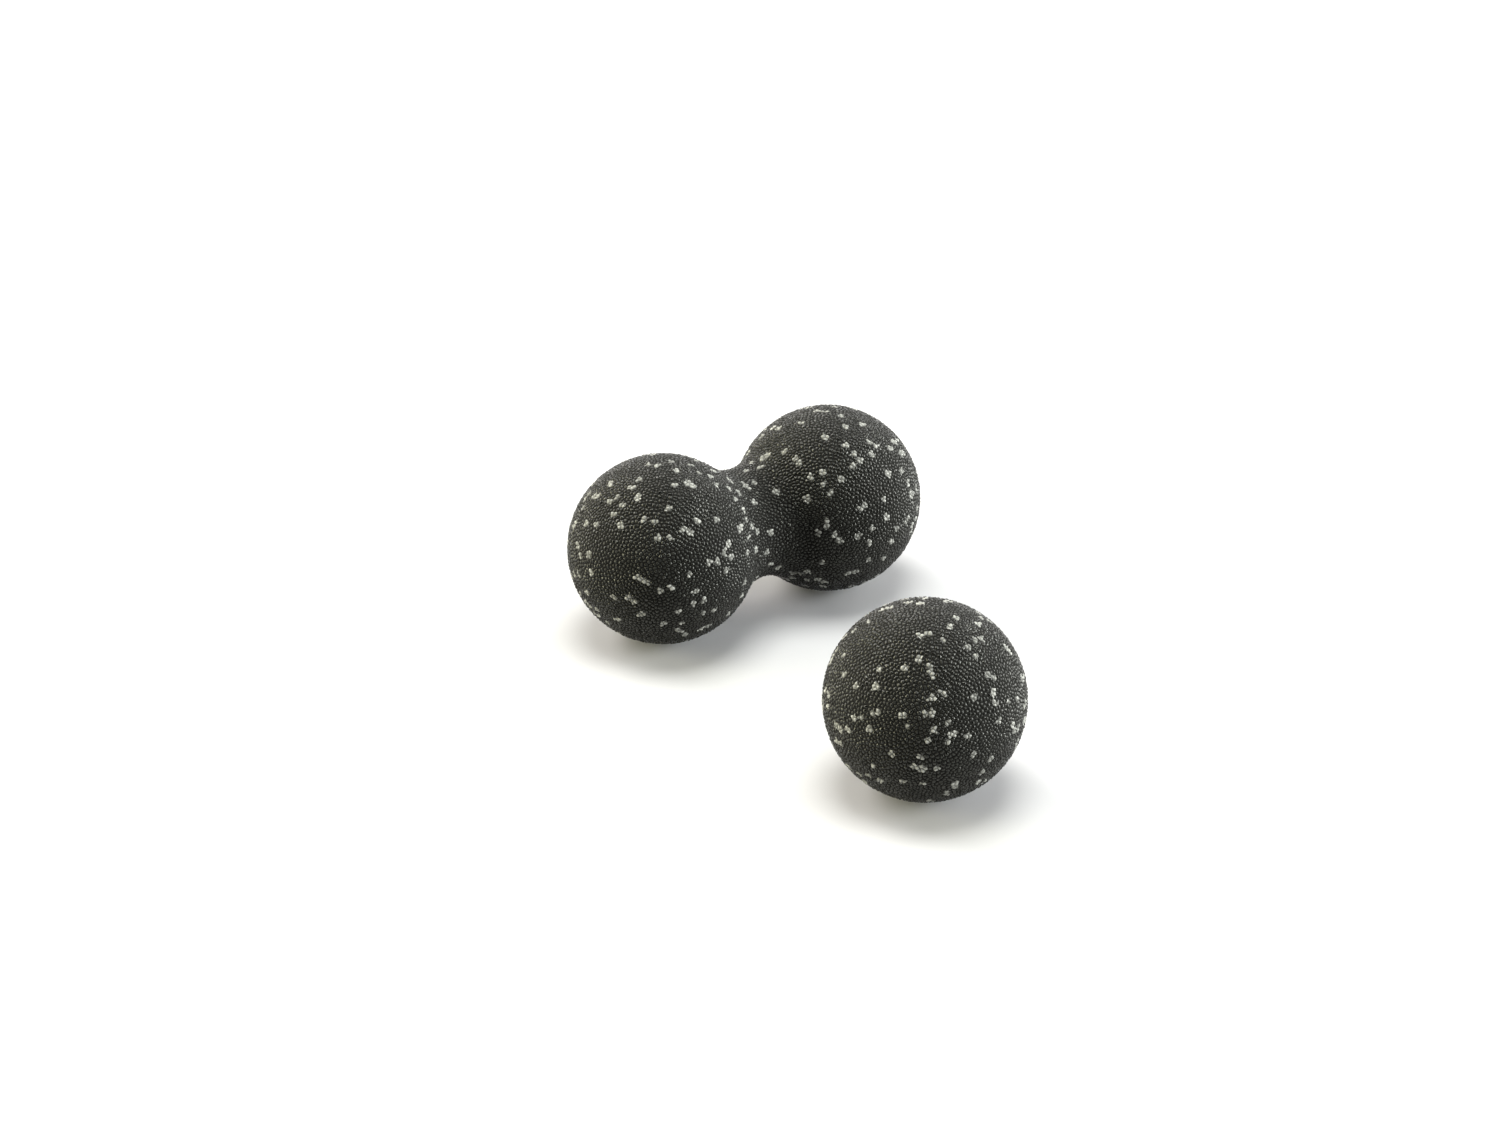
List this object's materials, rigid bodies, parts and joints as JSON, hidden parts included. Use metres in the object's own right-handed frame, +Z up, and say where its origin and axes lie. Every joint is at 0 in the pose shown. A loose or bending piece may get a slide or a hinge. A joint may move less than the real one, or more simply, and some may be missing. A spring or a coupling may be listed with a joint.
{
  "type": "massage ball set",
  "caption": "Bead-foam massage balls: a twin ball whose two lobes are joined by a narrow waist, with a loose single ball of the same diameter.",
  "frame": {"origin": "on the floor, under the middle of the whole set's box, between the twin ball and the single ball", "axes": "+Z up; +X along the twin ball's own axis, from one lobe to the other; +Y from the single ball towards the twin ball"},
  "size_m": [0.162, 0.235, 0.0795],
  "materials": {
    "twin_foam": "black bead foam with scattered light grey beads and a fine pebbled mould grain, satin",
    "ball_foam": "black bead foam with scattered light grey beads and a fine pebbled mould grain, satin"
  },
  "bodies": {
    "twin_ball": {"twin_ball": "twin_foam"},
    "single_ball": {"single_ball": "ball_foam"}
  },
  "joints": [
    {"name": "ball_lift", "type": "slide", "parent": "twin_ball", "child": "single_ball", "axis": [0, 0, 1], "range_m": [0, 0.12]}
  ]
}
